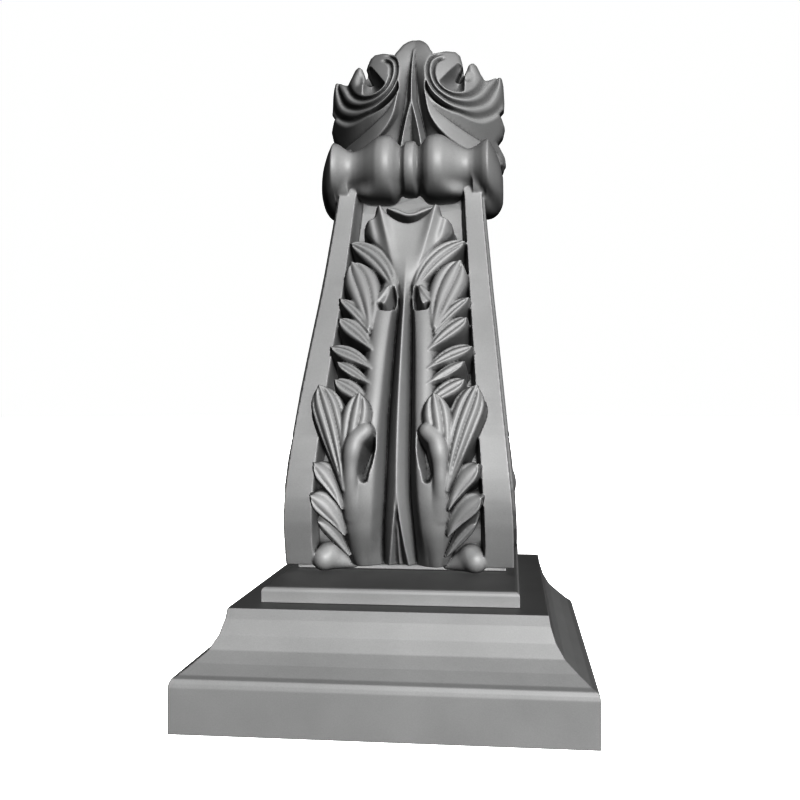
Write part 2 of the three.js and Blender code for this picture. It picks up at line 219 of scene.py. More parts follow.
def grey_stone(name, light, dark):
    paint = bpy.data.materials.new(name)
    paint.use_nodes = True
    tree = paint.node_tree
    shader = tree.nodes["Principled BSDF"]
    place = add_node(tree, "ShaderNodeTexCoord").outputs["Object"]
    drift = mottle(tree, place, DRIFT_WIDTH, 3.0)
    grain = mottle(tree, place, GRAIN_WIDTH, 2.0)
    normal = add_node(tree, "ShaderNodeNewGeometry").outputs["Normal"]
    upward_for_painted_shade = add_node(tree, "ShaderNodeSeparateXYZ", {"Vector": normal}).outputs["Z"]
    tone = tinted(tree, ranged(tree, drift, 0.3, 0.7, 0.0, 1.0), linear(dark), linear(light))
    for share, over in (
        (ranged(tree, grain, 0.2, 0.8, 0.10, 0.0), "5E5E5E"),
        # Painted shade: upward faces are darkened, standing in for the little light that falls on them.
        (ranged(tree, upward_for_painted_shade, 0.75, 1.0, 0.0, 0.3), "3C3C3C"),
        # Painted shade: hollows and creases are darkened where shade falls.
        (ranged(tree, carried(tree, "hollow"), 0.0, 1.0, 0.0, 0.9), "242424"),
        # Painted highlight: arrises are lightened as if they caught the light.
        (ranged(tree, carried(tree, "painted_arris_highlight"), 0.0, 1.0, 0.0, 0.3), "CFCFCF"),
    ):
        tone = tinted(tree, share, tone, linear(over))
    tree.links.new(tone, shader.inputs["Base Color"])
    tree.links.new(ranged(tree, grain, 0.2, 0.8, 0.50, 0.62), shader.inputs["Roughness"])
    pitting = {"Height": grain, "Strength": 0.12, "Distance": GRAIN_DEPTH}
    bump = add_node(tree, "ShaderNodeBump", pitting)
    tree.links.new(bump.outputs["Normal"], shader.inputs["Normal"])
    return paint


# Plinth and slab are honed flat with a stone: an even, quite matt grey without scratches.
honed = grey_stone("honed_grey_limestone", "A8A8A8", "A4A4A4")
for piece in (plinth, slab):
    piece.data.materials.clear()
    piece.data.materials.append(honed)

# The corbel is cut from one block of the limestone, worked here in millimetres: GRID is the
# carver's smallest step. It is symmetrical, so only the right half is cut and then mirrored.
GRID = 1.0
FOOT = 98.4
NECK_HALF_WIDTH = 89.0
NECK_FRONT = -20.0
SHAFT_FOOT = 104.0
SHAFT_TOP = 468.0
BACK = 161.0


def smooth_row(at, knots, values):
    """A smooth curve through a few known points, level-headed between them (monotone cubic)."""
    x = np.asarray(knots, float)
    y = np.asarray(values, float)
    step = np.diff(x)
    slope = np.diff(y) / step
    tangent = np.empty_like(y)
    tangent[0] = slope[0]
    tangent[-1] = slope[-1]
    same = slope[1:] * slope[:-1] > 0
    mean = 2 * slope[1:] * slope[:-1] / np.where(same, slope[1:] + slope[:-1], 1.0)
    tangent[1:-1] = np.where(same, mean, 0.0)
    at = np.asarray(at, float)
    inside = np.clip(at, x[0], x[-1])
    i = np.clip(np.searchsorted(x, inside, side="right") - 1, 0, len(x) - 2)
    h = step[i]
    t = (inside - x[i]) / h
    curve = (
        y[i] * (1 + 2 * t) * (1 - t) ** 2
        + tangent[i] * h * t * (1 - t) ** 2
        + y[i + 1] * t * t * (3 - 2 * t)
        + tangent[i + 1] * h * t * t * (t - 1)
    )
    before = np.minimum(at - x[0], 0.0) * tangent[0]
    after = np.maximum(at - x[-1], 0.0) * tangent[-1]
    return curve + before + after


# Shaft: side profile and front outline. Its foot swells forward in a belly and
# then it leans back to the roll. Two flat bands border a panel that is sunk between them.
BAND_Z = [98, 112, 128, 144, 160, 176, 192, 208, 224, 240, 260, 300, 340, 380, 410, 430]
BAND_Y = [
    -33, -39.5, -45.5, -49.8, -51.5, -50.3, -47.2, -42.9,
    -37.2, -30.4, -21.2, -1.8, 18.2, 34.9, 46, 54,
]
HALF_Z = [98, 128, 144, 160, 192, 240, 300, 340, 380, 410, 430, 482]
HALF_WIDTH = [95.6, 95.4, 94.9, 93.8, 90.7, 85.6, 79.3, 74.9, 71, 68.1, 66.6, 64]
BAND_SHARE = 0.265


def band_y(z):
    return smooth_row(z, BAND_Z, BAND_Y)


def half_width(z):
    return smooth_row(z, HALF_Z, HALF_WIDTH)


# The front is laid out along that profile: run is the way up along the curve from the foot,
# and out the distance straight off it, so that every edge is cut square to the face.
profile_z = np.arange(60.0, 500.0, 0.5)
profile_y = band_y(profile_z)
profile_run = np.concatenate([[0.0], np.cumsum(np.hypot(np.diff(profile_z), np.diff(profile_y)))])
profile_run -= np.interp(FOOT, profile_z, profile_run)
tilt = np.arctan2(np.gradient(profile_y, profile_z), 1.0)


def run_and_out(y, z):
    """Nearest point on the profile: how far up the face, and how far in front of it."""
    foot_z = np.array(z, float)
    for _ in range(12):
        lean = np.interp(foot_z, profile_z, tilt)
        gap = (z - foot_z) * np.cos(lean) + (y - np.interp(foot_z, profile_z, profile_y)) * np.sin(lean)
        foot_z = foot_z + 0.8 * gap * np.cos(lean)
    lean = np.interp(foot_z, profile_z, tilt)
    out = (z - foot_z) * np.sin(lean) - (y - np.interp(foot_z, profile_z, profile_y)) * np.cos(lean)
    return np.interp(foot_z, profile_z, profile_run), out


def on_face(height, proud):
    """A height read off the finished front, at a surface standing proud, as a place on the face."""
    run, _ = run_and_out(np.array([band_y(height) - proud]), np.array([float(height)]))
    return float(run[0])


FACE_STEP = 0.5
face_s, face_run = np.meshgrid(
    np.arange(0.0, 104.0, FACE_STEP), np.arange(-24.0, 420.0, FACE_STEP), indexing="ij"
)
face_z = np.interp(face_run, profile_run, profile_z)
PANEL_SINK = smooth_row(face_z, [98, 200, 420], [15.0, 18.0, 23.0])
panel_edge = half_width(face_z) * (1 - BAND_SHARE)
border = np.clip((face_s - panel_edge + 1.5) / 3.0, 0.0, 1.0)
relief = -PANEL_SINK * (1 - border * border * (3 - 2 * border))


# A lobe of the leaf runs from its root to its tip along a bent line. It is widest at its belly,
# rounded at the tip, fluted lengthwise, and its sides are cut steeply down to the ground.
def bent_line(points, count=72):
    p = np.asarray(points, float)
    if len(p) == 3:
        t = np.linspace(0, 1, count)[:, None]
        return (1 - t) ** 2 * p[0] + 2 * t * (1 - t) * p[1] + t * t * p[2]
    knots = np.concatenate([[0], np.cumsum(np.hypot(*np.diff(p, axis=0).T))])
    at = np.linspace(0, knots[-1], count)
    return np.stack([smooth_row(at, knots, p[:, k]) for k in (0, 1)], axis=1)


def along_line(line, s, r):
    """Share of the way along a line, and signed distance to its side."""
    step = np.hypot(*np.diff(line, axis=0).T)
    way = np.concatenate([[0], np.cumsum(step)])
    best = np.full(s.shape, 1e9)
    share = np.zeros(s.shape)
    side = np.zeros(s.shape)
    for i in range(len(line) - 1):
        ds, dr = line[i + 1] - line[i]
        t = ((s - line[i, 0]) * ds + (r - line[i, 1]) * dr) / (step[i] ** 2)
        t = np.clip(t, 0, 1)
        away = np.hypot(s - line[i, 0] - t * ds, r - line[i, 1] - t * dr)
        closer = away < best
        best = np.where(closer, away, best)
        share = np.where(closer, (way[i] + t * step[i]) / way[-1], share)
        cross = (s - line[i, 0]) * dr - (r - line[i, 1]) * ds
        side = np.where(closer, np.sign(cross) * away, side)
    return share, side


def fade(x):
    x = np.clip(x, 0, 1)
    return x * x * (3 - 2 * x)


CUT_REACH = 34.0
SHOULDER_FROM = 0.7
SHOULDER_FALL = 2.0


def carve(surface, s, r, line, wide, proud, crown, ridges=0, groove=0.0, steep=12.0, lean=0.0,
          fade_root=0.3, cut=False, soft=0.0, soft_root=0.0):
    """Raise (or with cut, sink) a lobe. wide and proud are functions of the way along it."""
    low = line.min(axis=0) - CUT_REACH
    high = line.max(axis=0) + CUT_REACH
    i0, i1 = np.searchsorted(s[:, 0], [low[0], high[0]])
    j0, j1 = np.searchsorted(r[0], [low[1], high[1]])
    window = (slice(i0, i1), slice(j0, j1))
    t, side = along_line(line, s[window], r[window])
    w = np.maximum(wide(t), 0.05)
    q = np.clip(side / w, -1, 1)
    inside = np.abs(q)
    top = proud(t) + crown * (1 - inside ** 2.2) + lean * q
    if groove:
        fold = np.abs(np.cos(0.5 * math.pi * ridges * q)) ** 0.75
        depth = groove * np.minimum(w / 5.0, 1) * fade(t / fade_root) * fade((1 - t) / 0.12 + 0.35)
        top = top - depth * (1 - fold)
    beyond = np.maximum(np.abs(side) - w, 0)
    if cut:
        surface[window] = np.minimum(surface[window], top + steep * beyond)
        return
    shoulder = np.clip((inside - SHOULDER_FROM) / (1 - SHOULDER_FROM), 0, 1) ** 2.5
    level = top - SHOULDER_FALL * shoulder - steep * beyond
    blend = soft + soft_root * fade(1 - t / 0.45) + 0.05
    gap = np.clip(0.5 + 0.5 * (level - surface[window]) / blend, 0, 1)
    surface[window] = surface[window] * (1 - gap) + level * gap + blend * gap * (1 - gap)


def swelling(half, belly, root_share=0.22, tip=0.97):
    def wide(t):
        rising = root_share + (1 - root_share) * np.sin(0.5 * math.pi * np.clip(t / belly, 0, 1))
        falling = np.sqrt(np.clip(1 - tip * np.clip((t - belly) / (1 - belly), 0, 1) ** 2, 0, 1))
        return half * np.where(t < belly, rising, falling)

    return wide


def between(start, end):
    return lambda t: start + (end - start) * t


def placed(points, proud_root, proud_tip):
    """Lobe points given as (distance from the middle, height) turned into places on the face."""
    last = len(points) - 1
    prouds = [proud_root + (proud_tip - proud_root) * k / last for k in range(last + 1)]
    return bent_line([(s, on_face(z, proud)) for (s, z), proud in zip(points, prouds)])


def face_lobe(points, half, belly, proud_root, proud_tip, crown, ridges, groove, **more):
    more.setdefault("soft_root", 2.2)
    carve(
        relief, face_s, face_run, placed(points, proud_root, proud_tip),
        swelling(half, belly, more.pop("root_share", 0.22)),
        between(proud_root, proud_tip), crown, ridges, groove, **more,
    )


# The long smooth stems on both sides of the midrib carry the upper lobes. Their inner wall
# drops to the groove beside the midrib, their outer side runs out into the lobes.
STEM_Z = [98, 112, 136, 166, 190, 210, 243, 278, 305, 325, 345, 362]
STEM_INNER = [26, 25.5, 22.5, 19.5, 18, 17, 15, 13.5, 11.5, 9, 6.5, 4]
STEM_OUTER = [36, 39, 41, 43, 38, 34, 29, 28, 27, 25, 20, 14]
STEM_GROOVE = [15.5, 15, 13.5, 11.5, 10.8, 10.4, 9.8, 8.6, 7.6, 6.4, 4.6, 2.5]
STEM_PROUD = [-1, 3, 9, 12, 13, 13, 13, 13, 12, 10, 6.5, 1.5]
stem_run = np.array([on_face(z, p) for z, p in zip(STEM_Z, STEM_PROUD)])
stem_inner = smooth_row(face_run, stem_run, STEM_INNER)
stem_outer = smooth_row(face_run, stem_run, STEM_OUTER)
stem_groove = smooth_row(face_run, stem_run, STEM_GROOVE)
stem_proud = smooth_row(face_run, stem_run, STEM_PROUD)
STEM_CROWN = 2.6
STEM_FALL = 1.5
GROOVE_DEPTH = 6.5
WASTE = -60.0
across = np.clip((face_s - stem_inner) / (stem_outer - stem_inner), 0, 1)
stem = stem_proud + STEM_CROWN * np.sin(math.pi * across) ** 0.8 - STEM_FALL * across
stem = stem - 0.16 * np.maximum(face_s - stem_outer + 3.0, 0) ** 2
wall = np.clip((stem_inner - face_s) / (stem_inner - stem_groove), 0, 1)
stem = stem - (stem_proud + GROOVE_DEPTH) * (1 - np.cos(0.5 * math.pi * wall)) ** 0.9
stem = stem - 5.0 * np.maximum(stem_groove - face_s, 0)
stem = np.where(face_run < stem_run[-1], stem, WASTE)
relief = np.maximum(relief, stem)

# Upper tier: lobes that spring from the stem and point up and out, each over the one below.
face_lobe([(24, 238), (37, 252), (54, 258.5)], 8.5, 0.66, 12, 11, 2.6, 3, 1.7, lean=1.6)
face_lobe([(24, 255), (38, 267), (54, 274)], 5.6, 0.6, 12, 11, 2.2, 2, 1.5, lean=1.2)
face_lobe([(24, 268), (40, 284), (60, 286.5)], 8.0, 0.64, 12, 10.5, 2.6, 3, 1.7, lean=1.6)
face_lobe([(24, 284), (36, 302), (55, 312)], 9.0, 0.66, 11.5, 9.5, 2.8, 3, 1.8, lean=1.6)
face_lobe([(28, 300), (38, 322), (56.5, 330.5)], 7.2, 0.6, 10.5, 8, 2.6, 3, 1.7, lean=1.6)
face_lobe([(28, 304), (31, 338), (48, 364)], 15.5, 0.7, 10, 7, 4.2, 3, 2.3)
face_lobe([(9, 338), (19, 374), (51, 384)], 10.5, 0.62, 7, 1, 3.4, 3, 2.0)

# Lower tier: it lies over the upper one and stands further out.
face_lobe([(40, 114), (52, 130), (65, 143.5)], 4.5, 0.6, 4, 5, 2.0, 2, 1.2)
face_lobe([(42, 134), (52, 156), (69, 165)], 8.6, 0.7, 9, 10.0, 2.4, 2, 1.5, lean=3.4)
face_lobe([(43, 156), (51, 180), (66.5, 191)], 8.6, 0.7, 12, 12.0, 2.4, 2, 1.5, lean=3.4)
face_lobe([(42, 170), (46, 211), (64.8, 252.5)], 13.4, 0.76, 13, 19, 3.8, 4, 2.3, root_share=0.16)
face_lobe([(40, 184), (35, 220), (30.5, 246)], 12.3, 0.7, 14, 22, 3.8, 3, 2.2, root_share=0.18)

# The innermost lobe of the lower tier is a smooth thumb that curls in towards the midrib and
# leaves an almond-shaped hollow under its curl.
def row_along(values):
    return lambda t: smooth_row(t, np.linspace(0, 1, len(values)), values)


def shaped(line, widths, prouds, crown=0.0, **more):
    """A lobe or a cut on the face whose width and height are given step by step."""
    carve(relief, face_s, face_run, line, row_along(widths), row_along(prouds), crown, **more)


shaped(
    placed([(25.5, 178), (26.5, 187), (25.4, 199), (23, 212)], 4, 4),
    [1.2, 3.2, 3.8, 2.6], [4, -7, -9, -4], steep=5.0, cut=True,
)
shaped(
    placed([(36, 148), (36.6, 172), (36.2, 191), (33, 208), (25.5, 217)], 11, 17),
    [7.5, 7.0, 6.6, 7.8, 7.2], [6.5, 12.5, 16.5, 20.5, 19], 4.0, soft=0.8, soft_root=3.5,
)

# Where the upper stems end, a small grooved tear lies in a round-rimmed hollow.
TEAR_RIM = [(21.5, 325.5), (18.2, 321.6), (14.2, 321.6), (10.4, 326.5), (9.3, 333), (10, 341)]
shaped(
    placed(TEAR_RIM, 8, 8), [0.3, 0.8, 1.2, 1.0, 0.7, 0.2], [5, -1, -5, -6, -4, 5],
    steep=4.8, cut=True,
)
face_lobe([(26, 324.5), (20.4, 331), (13.6, 342)], 4.6, 0.66, 9, 9.5, 2.2, 2.0, 1.1)

# Midrib: a keel between two grooves. Below the belly it parts into two strands with a short
# tongue between them, and above it fades into the bell.
RIB_Z = [98, 125, 152, 178, 215, 260, 300, 330, 350, 370]
RIB_PROUD = [-4, 1, 4, 6, 8.5, 10, 9.5, 7.5, 5.5, 1]
FORK_HALF = [9.5, 5.2, 1.6, 0, 0, 0, 0, 0, 0, 0]
GROOVE_OUT = [-16, -15, -14, -13, -12, -11, -10, -8, -5, -2]
rib_run = np.array([on_face(z, p) for z, p in zip(RIB_Z, RIB_PROUD)])
rib_proud = smooth_row(face_run, rib_run, RIB_PROUD)
fork = smooth_row(face_run, rib_run, FORK_HALF)
groove_out = smooth_row(face_run, rib_run, GROOVE_OUT)
flank = np.clip(np.abs(face_s - fork) / np.maximum(stem_groove - fork, 0.5), 0, 1)
keel = rib_proud + (groove_out - rib_proud) * (0.55 * flank + 0.45 * flank ** 2)
inner = rib_proud - 9.0 * fade((fork - face_s) / np.maximum(fork, 0.6)) * fade(fork / 4.0)
tongue = rib_proud - 4.5 - 1.1 * face_s ** 1.3 - 30 * np.clip(0.8 - fork / 2.5, 0, 1)
inner = np.maximum(inner, tongue)
midrib = np.maximum(np.where(face_s < fork, inner, keel), stem)
relief = np.where((face_s < stem_groove + 0.4) & (face_run < rib_run[-1]), midrib, relief)


# Head of the leaf: a bell that flares up out of the midrib. Its front rim sags between two
# horns, a small frilled lobe stands out on each side, and a second lip rises behind the mouth.
def runs_up(heights, proud):
    heights = np.asarray(heights, float)
    return run_and_out(band_y(heights) - proud, heights)[0]


BELL_Z = [316, 334, 350, 366, 380, 390, 398, 404, 409, 416, 422]
BELL_HALF = [1, 5.5, 10.5, 17, 26.5, 36.5, 41, 39.5, 31, 28.5, 26]
bell_half = smooth_row(face_run, runs_up(BELL_Z, 5), BELL_HALF)
horn_line = smooth_row(face_run, runs_up([334, 352, 372, 396, 421], 7), [4, 7.5, 13.5, 20, 26.5])
bell_body = smooth_row(face_run, runs_up([316, 334, 356, 380, 404, 421], 9), [8.5, 9, 8.8, 8, 8.5, 9.5])
bell_curve = smooth_row(face_run, runs_up([330, 352, 378, 400], 8), [-0.02, -0.008, 0.001, 0.004])
horn_rise = smooth_row(face_run, runs_up([350, 372, 396, 421], 7), [0, 0.8, 1.8, 2.4])
keel_slope = smooth_row(face_run, runs_up([320, 340, 356, 372], 8), [1.1, 0.7, 0.2, 0.0])
bell = bell_body + bell_curve * np.minimum(face_s, horn_line) ** 2 - np.maximum(keel_slope, 0) * face_s
bell = bell + horn_rise * np.exp(-(((face_s - horn_line) / 4.6) ** 2))
bell = bell - 0.55 * np.maximum(face_s - horn_line - 1, 0)
fringe = fade((face_run - runs_up([376], 6)[0]) / 20)
bell = bell + 3.2 * np.exp(-(((face_s - horn_line - 13.0) / 4.2) ** 2)) * fringe
bell = bell - 12.0 * np.maximum(face_s - bell_half, 0) - 2.6 * fade((face_s - bell_half + 4) / 4)
RIM_Z = [403.4, 404.8, 408.4, 412.3, 418, 418]
rim_run = smooth_row(face_s, [0, 7, 14, 20, 26.5, 40], runs_up(RIM_Z, 8))
bell = bell - 12.0 * np.maximum(face_run - rim_run, 0) - 1.6 * fade((face_run - rim_run + 3) / 3)
bell = np.where(face_run > runs_up([316], 9)[0], bell, WASTE)
gap = np.clip(0.5 + 0.5 * (bell - relief) / 1.5, 0, 1)
relief = relief * (1 - gap) + bell * gap + 1.5 * gap * (1 - gap)
LIP_LOW_Z = [412.4, 412.7, 415.4, 418.6, 422.4]
LIP_TOP_Z = [417.6, 417.8, 419.6, 422.8, 422.6, 420]
LIP_HALF = 25
MOUTH_FLOOR = -34
lip_low = smooth_row(face_s, [0, 3, 11, 18, 25], runs_up(LIP_LOW_Z, -8))
lip_top = smooth_row(face_s, [0, 3, 7, 15, 20, 25], runs_up(LIP_TOP_Z, -8))
mouth = (face_s < LIP_HALF - 1) & (face_run > rim_run + 1) & (face_run < lip_low)
relief = np.where(mouth, np.minimum(relief, MOUTH_FLOOR), relief)
lip = -7.5 - 8.0 * np.maximum(face_run - lip_top, 0) - 8.0 * np.maximum(lip_low - face_run, 0)
lip = lip - 7.0 * ((face_run - lip_low) / np.maximum(lip_top - lip_low, 0.5) - 0.35) ** 2
relief = np.where(face_s < LIP_HALF, np.maximum(relief, lip), relief)

# Roll: a bolster turned like a baluster across the top of the shaft, with a bead at its
# middle. Behind each end the scroll coils up in a thick disc whose domed face hangs low.
ROLL_Y = 66.0
ROLL_Z = 458.0
ROLL_SHAPE = [
    (0, 26.4), (4, 25.7), (6.2, 22.4), (8, 21.2), (10.5, 23), (14.5, 28.2), (19, 31.3), (23.5, 32.1),
    (29, 31.2), (36, 27.2), (44, 21.6), (50, 18.6), (54, 17.8), (58, 18.6), (63, 21.6), (68, 25.2),
    (72, 26.4), (76, 25.4), (80, 22.4), (83, 18), (86, 7),
]
ROLL_S, ROLL_R = zip(*ROLL_SHAPE)
UNDER_S = [0, 5, 8, 10.5, 14, 17, 23.5, 38, 43, 47, 51, 56]
UNDER_R = [26.4, 26, 24.8, 26, 30, 31.6, 32.1, 31.6, 30.5, 28.5, 26, 25]
COIL_Y = 84.0
COIL_Z = 449.0
COIL_RADIUS = 33.0

# Crest: an acanthus leaf draped over a dome. Its face swells forward in the middle and falls
# back to the sides and to the tip, and its flutes sweep in rings round a deep eye.
CREST_FOOT = 462.0
crest_s, crest_z = np.meshgrid(
    np.arange(0.0, 104.0, FACE_STEP), np.arange(455.0, 606.0, FACE_STEP), indexing="ij"
)
DOME_FRONT = 70
DOME_BOW = 0.0078
DOME_NOD = 45
dome = DOME_FRONT + DOME_BOW * crest_s ** 2 + DOME_NOD * np.clip((crest_z - 500) / 96, 0, 1.1) ** 3

OUTLINE = [
    (0, 598.5), (4, 598), (8, 595), (12, 590), (15.5, 582), (18.5, 576.5), (23, 577.5), (30, 580.5),
    (39.5, 581.5), (44, 577), (46.4, 567), (47.4, 559), (48.2, 556.5), (49.6, 560), (52.5, 568),
    (56, 571.5), (60, 569), (63.5, 561), (67.5, 555.5), (74, 558), (80, 563), (84, 564), (85.5, 556),
    (86.5, 540), (86, 530), (82, 524), (84.5, 519), (87, 513), (85, 504), (80, 496), (83, 492),
    (87, 486), (88, 478), (85, 470), (78, 465), (66, 462), (0, 462),
]


def outline_depth(points, s, z):
    """Distance inside an outline: positive within it, negative outside."""
    p = np.asarray(points, float)
    best = np.full(s.shape, 1e9)
    within = np.zeros(s.shape, bool)
    for (a, b), (c, d) in zip(p, np.roll(p, -1, axis=0)):
        long = max((c - a) ** 2 + (d - b) ** 2, 1e-9)
        t = np.clip(((s - a) * (c - a) + (z - b) * (d - b)) / long, 0, 1)
        if a > 0.01 or c > 0.01:
            best = np.minimum(best, np.hypot(s - a - t * (c - a), z - b - t * (d - b)))
        crosses = (b > z) != (d > z)
        at = a + (z - b) / np.where(d == b, 1e-9, d - b) * (c - a)
        within ^= crosses & (s < at)
    return np.where(within, best, -best)


crest_edge = outline_depth(OUTLINE, crest_s, crest_z)

EYE_S = 40.0
EYE_Z = 551.0
ring = np.hypot(crest_s - EYE_S, crest_z - EYE_Z)
bearing = np.degrees(np.arctan2(crest_z - EYE_Z, crest_s - EYE_S)) % 360.0
turn = np.where(bearing < 60, bearing + 360, bearing)
BEARING = [100, 140, 170, 200, 235, 275, 305, 330, 350, 372, 400]
RIDGES = [
    [17, 19, 17.5, 17, 16.8, 16.8, 17.5, 18.5, 20, 21.5, 23],
    [23, 25.5, 23, 21.5, 21.6, 23.5, 26.5, 29, 31.5, 38.5, 42],
    [29, 31, 28.5, 27, 27.6, 31.5, 37, 41, 41.5, 43, 46],
    [34, 36, 33.5, 32, 34, 38.5, 50.5, 52.5, 54, 56, 58],
]
radii = [smooth_row(turn, BEARING, row) for row in RIDGES]
count = sum(np.clip((ring - near) / (far - near), 0, 1) for near, far in zip(radii, radii[1:]))
trough = (0.5 - 0.5 * np.cos(2 * math.pi * count)) ** 1.4 * fade((turn - 112) / 20)
deep_gap = fade((count - 2) / 0.2) * fade((275 - turn) / 50) * fade((turn - 150) / 30)
RIDGE_PROUD = 4.2
TROUGH_DEPTH = 4.4
GAP_DEPTH = 11.0
BOWL_DEPTH = 5.0
crest = RIDGE_PROUD - (TROUGH_DEPTH + GAP_DEPTH * deep_gap) * trough
bowl = fade((turn - 335) / 25)
crest = crest - BOWL_DEPTH * bowl * fade((radii[0] - ring) / 9) ** 1.5
crest = crest - 0.5 * np.maximum(ring - radii[3], 0)

# The middle lobe is a hollow that falls from both sides to two strands, which rise out of it
# below the tip and part on the way down; its sides run out along the low blades.
def up_crest(pairs):
    """A value that changes with height, from (height, value) pairs."""
    heights, values = zip(*pairs)
    return smooth_row(crest_z, heights, values)


spine_edge = up_crest([
    (478, 52), (489, 36), (506, 21), (520, 16), (533, 13.5), (556, 13), (568, 15.5), (578, 18),
    (600, 15),
])
valley_line = up_crest([
    (480, 15.5), (493, 13.4), (509, 10.4), (527, 7.3), (539, 5.7), (555, 3.5), (577, 0.8), (588, 0),
])
valley_line = np.maximum(valley_line, 0.0)
strand_line = up_crest([(482, 9.3), (493, 7.4), (509, 3.9), (520, 1.2), (528, 0), (600, 0)])
strand_line = np.maximum(strand_line, 0)
hollow = up_crest([
    (480, 19), (500, 18), (520, 16), (540, 13), (556, 10), (570, 6.5), (582, 4.5), (600, 3),
])
fall = np.clip((spine_edge - crest_s) / np.maximum(spine_edge - valley_line, 1.0), 0, 1)
middle = 4.6 - hollow * fall ** 1.25
strand = up_crest([(480, 3.5), (540, 3.5), (565, 2.8), (580, 1.6), (590, -3)])
outer_side = strand - 3.6 * np.maximum(crest_s - strand_line - 0.5, 0)
inner_side = strand - 1.5 * np.maximum(strand_line - crest_s, 0)
middle = np.maximum(middle, np.where(crest_s < strand_line, inner_side, outer_side))
crest = np.where(crest_s < spine_edge, middle, crest)


def crest_lobe(points, widths, prouds, crown, **more):
    wide = row_along(widths)
    carve(crest, crest_s, crest_z, bent_line(points), wide, row_along(prouds), crown, **more)


# The low blade that sweeps out above the roll, and the curled fist under it.
crest_lobe(
    [(13, 531), (20, 513), (33, 499), (49, 489.5), (66, 483), (80, 478)],
    [0.8, 4.2, 7.2, 8.2, 8.2, 6.5], [4, 5.5, 5.5, 4, 2, 0], 0.6, steep=4.0, lean=2.0,
)
crest_lobe([(60, 480), (74, 480), (86, 477)], [5, 8, 9], [-6, -7, -9], 4.0, steep=2.5)

# The eye is cut deep under the curl of the upper lobe; its way out lies beside the next lobe.
EYE_DEPTH = 45.0
EDGE_ROUND = 4.5
slant = 0.81 * (crest_s - 27) - 0.585 * (crest_z - 545)
eye_walls = [radii[0] - 0.5 - ring, 0.5 * slant, 48.8 - crest_s]
inside_eye = 1.7 / sum(1 / np.maximum(wall, 0.01) for wall in eye_walls)
crest = crest - np.minimum(4.0 * inside_eye ** 1.15, EYE_DEPTH)
from_edge = 1 - np.clip(crest_edge / EDGE_ROUND, 0, 1)
crest = crest - EDGE_ROUND * (1 - np.sqrt(np.clip(1 - from_edge ** 2, 0, 1)))
crest_front = dome - crest

# Sides: the edge of each side carries a thin raised fillet that runs down from the coil, round
# the belly, and winds into a low volute with a button in its eye.
GRID_LOW = np.array([0.5 * GRID, -78.0, 94.0])
GRID_HIGH = np.array([101.0, 165.0, 604.0])
block_x, block_y, block_z = [
    np.arange(low, high, GRID, dtype=np.float32) for low, high in zip(GRID_LOW, GRID_HIGH)
]
side_y, side_z = np.meshgrid(block_y.astype(float), block_z.astype(float), indexing="ij")
VOLUTE_Y = 46.0
VOLUTE_Z = 170.0
FILLET_RISE = 2.6
BUTTON_RADIUS = 12.0
BUTTON_RISE = 4.5
fillet = [(band_y(z) + 9, z) for z in (440, 400, 360, 320, 280, 250)]
for step in range(34):
    share = step / 33
    angle = math.radians(162 + 560 * share)
    reach_front = 88.0 * (1 - share) ** 0.85 + 15.0 * share
    reach_up = 62.0 * (1 - share) ** 0.8 + 15.0 * share
    fillet.append((VOLUTE_Y + reach_front * math.cos(angle), VOLUTE_Z + reach_up * math.sin(angle)))
line = np.array([(min(y, BACK - 10), max(z, FOOT + 8)) for y, z in fillet])
share, beside = along_line(line, side_y, side_z)
fillet_wide = 5.2 - 1.6 * share
side_rise = FILLET_RISE * np.sqrt(np.clip(1 - (beside / fillet_wide) ** 2, 0, 1))
button = np.hypot(side_y - VOLUTE_Y, side_z - VOLUTE_Z) / BUTTON_RADIUS
side_rise = np.maximum(side_rise, BUTTON_RISE * np.sqrt(np.clip(1 - button ** 2, 0, 1)))
side_face = half_width(side_z) + side_rise

# The block is now cut, one slice after another: a value above zero is stone, below zero is
# waste. Each slice joins the shaft on its neck, the knob at the foot, the roll and the crest.
run_map, out_map = run_and_out(side_y, side_z)
run_axis = face_run[0]
roll_under = fade((ROLL_Z - 13 - side_z) / 15)
steepness = np.hypot(1.0, 2 * DOME_BOW * 60)
block = np.empty((len(block_x), len(block_y), len(block_z)), np.float32)


def blend(a, b, soft):
    gap = np.clip(0.5 + 0.5 * (a - b) / soft, 0, 1)
    return b * (1 - gap) + a * gap + soft * gap * (1 - gap)


def round_cone(x, y, z, start, end, r0, r1):
    start = np.asarray(start, float)
    span = np.asarray(end, float) - start
    offset = [x - start[0], y - start[1], z - start[2]]
    t = np.clip(sum(o * d for o, d in zip(offset, span)) / (span @ span), 0, 1)
    away = np.sqrt(sum((o - t * d) ** 2 for o, d in zip(offset, span)))
    return r0 + (r1 - r0) * t - away


